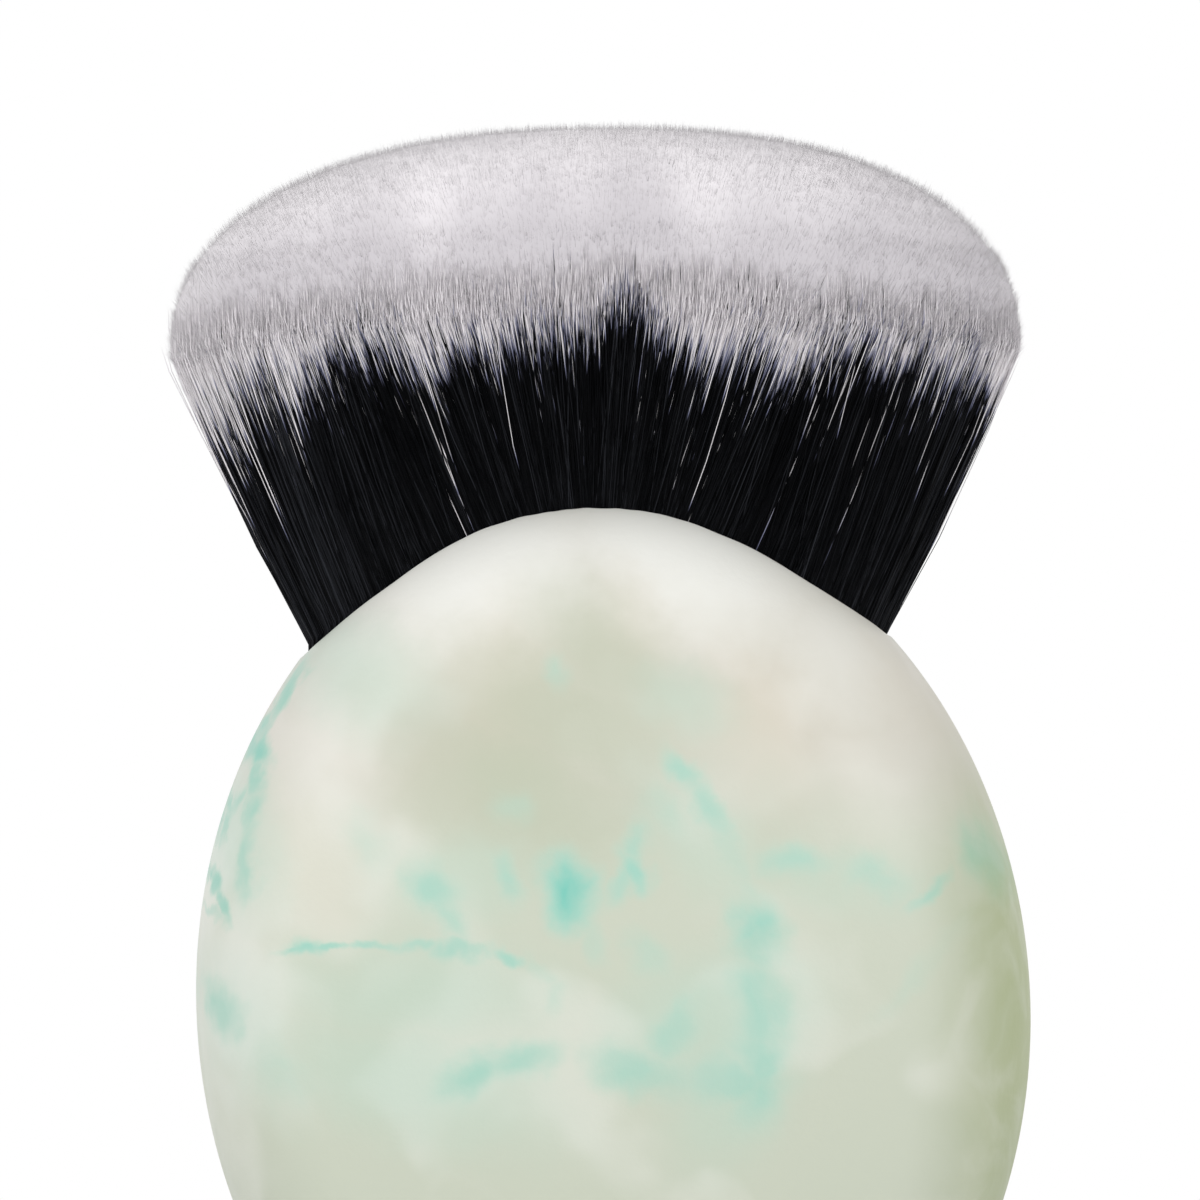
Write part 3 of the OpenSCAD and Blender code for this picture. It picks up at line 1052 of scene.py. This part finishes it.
class BRONZER_OT_stage(bpy.types.Operator):
    """Camera, lamps, sky and floor"""

    bl_idname = "bronzer.stage"
    bl_label = "Set the stage"

    def execute(self, context):
        settings = context.scene.brush_stage
        context.scene.view_settings.view_transform = "Standard"
        aim = np.array(settings.centre)

        camera = bpy.data.cameras.new("camera")
        camera.sensor_width = 36
        camera.lens = 36 * settings.distance / settings.field
        camera.clip_start, camera.clip_end = 0.05, 20
        holder = bpy.data.objects.new("camera", camera)
        holder.location = aim - [0, settings.distance, 0]
        holder.rotation_euler = (math.pi / 2, 0, 0)
        context.scene.collection.objects.link(holder)
        context.scene.camera = holder

        for name, energy, size, place in (
            ("key", settings.key, 0.7, (-1.0, -0.95, 0.58)),
            ("fill", settings.fill, 0.7, (0.75, -1.10, 0.42)),
        ):
            lamp = bpy.data.lights.new(name, "AREA")
            lamp.energy, lamp.size = energy, size
            made = bpy.data.objects.new(name, lamp)
            made.location = place
            towards = Vector(aim - np.array(place))
            made.rotation_euler = towards.to_track_quat("-Z", "Y").to_euler()
            made.visible_camera = False
            context.scene.collection.objects.link(made)

        sky = Graph(bpy.data.worlds.new("sky"))
        strength = sky.node(
            "ShaderNodeMapRange",
            None,
            {"Value": sky.backdrop_rays(), "To Min": settings.sky, "To Max": 1.0},
        )
        light = sky.node(
            "ShaderNodeBackground", None, {"Color": (1, 1, 1, 1), "Strength": strength}
        )
        context.scene.world = sky.finish(light, "ShaderNodeOutputWorld")

        g = new_material("pale_floor")
        plain = g.node(
            "ShaderNodeBsdfDiffuse", None, {"Color": (0.86, 0.86, 0.86, 1), "Roughness": 0.5}
        )
        glow = g.node("ShaderNodeEmission", None, {"Color": (1, 1, 1, 1), "Strength": 1.0})
        away = g.vector("LENGTH", g.place(), output="Value").rise(60, 320)
        white = g.backdrop_rays() * away
        surface = g.node("ShaderNodeMixShader", None, {0: white, 1: plain, 2: glow})
        size = 6.0
        corners = np.array([[-size, -size, 0], [size, -size, 0], [size, size, 0], [-size, size, 0]])
        floor = fill_mesh("floor", corners / MM, np.arange(4), np.array([0]))
        floor = add_object("floor", floor, g.finish(surface))
        floor.location.z = FLOOR_Z - 0.0001
        return {"FINISHED"}


class BRONZER_OT_handle(bpy.types.Operator):
    """Marbled resin pebble with its lip, socket and foot"""

    bl_idname = "bronzer.handle"
    bl_label = "Make the handle"

    def execute(self, context):
        settings = context.scene.brush_handle
        piece = add_object("pebble_handle", handle_mesh(settings), handle_material(settings))
        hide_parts("handle")
        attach(piece, "root")
        return {"FINISHED"}


class BRONZER_OT_inner(bpy.types.Operator):
    """Finish of the ferrule and the glue inside the socket"""

    bl_idname = "bronzer.inner"
    bl_label = "Finish the inner pieces"

    def execute(self, context):
        g = new_material("drawn_aluminium")
        place = g.vector("MULTIPLY", g.place(), (1, 1, 14))
        drawn = g.noise(place, 3, 3)
        bump = g.node(
            "ShaderNodeBump", None, {"Strength": 0.1, "Distance": 0.0001, "Height": drawn}
        )
        metal = g.node(
            "ShaderNodeBsdfPrincipled",
            None,
            {
                "Base Color": g.mix(drawn, (0.66, 0.67, 0.69), (0.8, 0.81, 0.83)),
                "Metallic": 1.0,
                "Roughness": 0.28 + drawn * 0.2,
                "Normal": bump,
            },
        )
        g.finish(metal)
        glue = new_material("set_glue")
        cloud = glue.noise(glue.place(), 2.5, 3)
        amber = glue.node(
            "ShaderNodeBsdfPrincipled",
            None,
            {
                "Base Color": glue.mix(cloud, (0.42, 0.30, 0.13), (0.62, 0.50, 0.28)),
                "Roughness": 0.16 + cloud * 0.2,
            },
        )
        glue.finish(amber)
        for name, material in (("ferrule", g.owner), ("root_glue", glue.owner)):
            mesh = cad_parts[name].data
            mesh.materials.clear()
            mesh.materials.append(material)
        return {"FINISHED"}


class BRONZER_OT_fibres(bpy.types.Operator):
    """The head of dipped fibres"""

    bl_idname = "bronzer.fibres"
    bl_label = "Make the fibres"

    def execute(self, context):
        settings = context.scene.brush_fibres
        head = Head(context)
        rng = np.random.default_rng(settings.seed)
        material = fibre_material(settings)
        radius = settings.radius
        made = [("fibre_core", core_mesh(head))]
        half, corner = math.pi / 2, math.pi / 6
        for name, count, low, high in (
            ("fibres_front_left", settings.long_front // 2, corner - math.pi, -half),
            ("fibres_front_right", settings.long_front // 2, -half, -corner),
            ("fibres_back", settings.long_back, corner, math.pi - corner),
            ("fibres_right", settings.long_ends // 2, -corner, corner),
            ("fibres_left", settings.long_ends // 2, math.pi - corner, math.pi + corner),
        ):
            made.append((name, long_fibres(head, rng, count, low, high, radius)))
        count = settings.tips
        # Even over the dome, and even in height over the steep band just above the trimmed edge
        inward = np.where(
            rng.uniform(size=count) < 0.4,
            1 - 0.06 * rng.uniform(0, 1, count) ** head.power,
            0.97 * rng.uniform(0, 1, count) ** 0.42,
        )
        turn = rng.uniform(0, 2 * math.pi, count)
        order = np.argsort(inward * np.cos(turn))
        for name, part in zip(("tips_left", "tips_middle", "tips_right"), np.array_split(order, 3)):
            made.append((name, tip_fibres(head, rng, turn[part], inward[part], radius)))
        for name, mesh in made:
            piece = add_object(name, mesh, material)
            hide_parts("bristles")
            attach(piece, "root")
        return {"FINISHED"}


class BRONZER_PT_panel(bpy.types.Panel):
    """Lists the brush's steps"""

    bl_label = "Bronzer brush"
    bl_idname = "BRONZER_PT_panel"
    bl_space_type = "VIEW_3D"
    bl_region_type = "UI"
    bl_category = "Brush"

    def draw(self, context):
        for step in STEPS:
            self.layout.operator(step.bl_idname)
        for group in (
            context.scene.brush_handle,
            context.scene.brush_fibres,
            context.scene.brush_stage,
        ):
            box = self.layout.box()
            for name in group.__annotations__:
                box.prop(group, name)


STEPS = (BRONZER_OT_stage, BRONZER_OT_handle, BRONZER_OT_inner, BRONZER_OT_fibres)
GROUPS = {
    "brush_handle": BRONZER_PG_handle,
    "brush_fibres": BRONZER_PG_fibres,
    "brush_stage": BRONZER_PG_stage,
}


def register():
    for name, group in GROUPS.items():
        bpy.utils.register_class(group)
        setattr(bpy.types.Scene, name, bpy.props.PointerProperty(type=group))
    for step in STEPS:
        bpy.utils.register_class(step)
    bpy.utils.register_class(BRONZER_PT_panel)


def unregister():
    bpy.utils.unregister_class(BRONZER_PT_panel)
    for step in reversed(STEPS):
        bpy.utils.unregister_class(step)
    for name, group in GROUPS.items():
        delattr(bpy.types.Scene, name)
        bpy.utils.unregister_class(group)


def main():
    register()
    bpy.ops.bronzer.stage()
    bpy.ops.bronzer.handle()
    bpy.ops.bronzer.inner()
    bpy.ops.bronzer.fibres()


if __name__ == "__main__":
    main()
